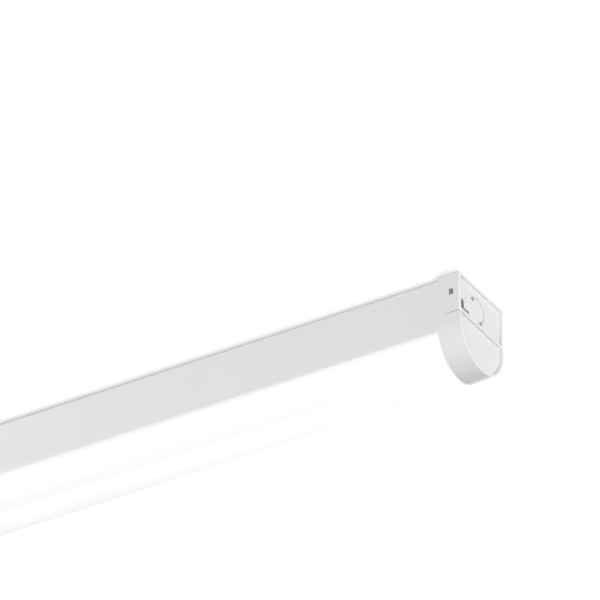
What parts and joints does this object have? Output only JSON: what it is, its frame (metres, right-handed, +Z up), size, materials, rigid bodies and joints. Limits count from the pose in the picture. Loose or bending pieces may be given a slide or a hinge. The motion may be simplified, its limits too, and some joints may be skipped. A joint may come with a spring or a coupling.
{
  "type": "linear light fixture",
  "caption": "Surface-mounted linear ceiling light: folded steel spine with gear tray and driver, half-round opal diffuser and pull-off moulded end caps.",
  "frame": {"origin": "middle of the two ceiling fixing holes, in the ceiling plane", "axes": "+X along the light, +Z up towards the ceiling, the light hangs below Z = 0"},
  "size_m": [0.6, 0.065, 0.0727],
  "materials": {
    "body_steel": "white powder coat",
    "tray_steel": "white powder coat",
    "cap_plastic": "white moulded, fine texture",
    "opal_diffuser": "opal, satin",
    "spring_steel": "plain",
    "plated_steel": "zinc plated",
    "board_white": "white solder mask",
    "lamp_package": "phosphor face",
    "connector_plastic": "moulded",
    "rivet_plastic": "moulded",
    "driver_steel": "white coated sheet",
    "driver_board": "green solder mask",
    "terminal_plastic": "moulded",
    "button_plastic": "moulded",
    "brass": "plain",
    "bush_rubber": "moulded",
    "live_insulation": "extruded",
    "neutral_insulation": "extruded",
    "earth_insulation": "extruded",
    "red_insulation": "extruded",
    "black_insulation": "extruded",
    "link_insulation": "extruded"
  },
  "bodies": {
    "housing": {"spine": "body_steel", "diffuser": "opal_diffuser", "cap_latches_right": "spring_steel", "cap_latches_left": "spring_steel", "gear_tray": "tray_steel", "led_board_right": "board_white", "led_board_left": "board_white", "led_packages_right": "lamp_package", "led_packages_left": "lamp_package", "board_rivets": "rivet_plastic", "board_connectors": "connector_plastic", "board_link_wires": "link_insulation", "driver_base": "driver_steel", "driver_cover": "driver_steel", "driver_board": "driver_board", "driver_input_terminal": "terminal_plastic", "driver_output_terminal": "terminal_plastic", "driver_screws": "plated_steel", "terminal_block": "terminal_plastic", "terminal_contacts": "brass", "earth_stud": "plated_steel", "earth_washer": "plated_steel", "earth_tag": "brass", "earth_nut": "plated_steel", "live_wire": "live_insulation", "neutral_wire": "neutral_insulation", "earth_wire": "earth_insulation", "led_positive_wire": "red_insulation", "led_negative_wire": "black_insulation", "cable_grommet": "bush_rubber", "tray_bush": "bush_rubber"},
    "right_cap": {"end_cap_right": "cap_plastic"},
    "left_cap": {"end_cap_left": "cap_plastic"},
    "live_release": {"live_button": "button_plastic"},
    "neutral_release": {"neutral_button": "button_plastic"},
    "earth_release": {"earth_button": "button_plastic"}
  },
  "joints": [
    {"name": "right_cap_pull", "type": "slide", "parent": "housing", "child": "right_cap", "axis": [1, 0, 0], "range_m": [0, 0.03], "deforming": ["cap_latches_right"]},
    {"name": "left_cap_pull", "type": "slide", "parent": "housing", "child": "left_cap", "axis": [-1, 0, 0], "range_m": [0, 0.03], "deforming": ["cap_latches_left"]},
    {"name": "live_press", "type": "slide", "parent": "housing", "child": "live_release", "axis": [0, 0, 1], "range_m": [0, 0.001], "stiffness_N_per_m": 600, "springref_m": -0.0005},
    {"name": "neutral_press", "type": "slide", "parent": "housing", "child": "neutral_release", "axis": [0, 0, 1], "range_m": [0, 0.001], "stiffness_N_per_m": 600, "springref_m": -0.0005},
    {"name": "earth_press", "type": "slide", "parent": "housing", "child": "earth_release", "axis": [0, 0, 1], "range_m": [0, 0.001], "stiffness_N_per_m": 600, "springref_m": -0.0005}
  ]
}
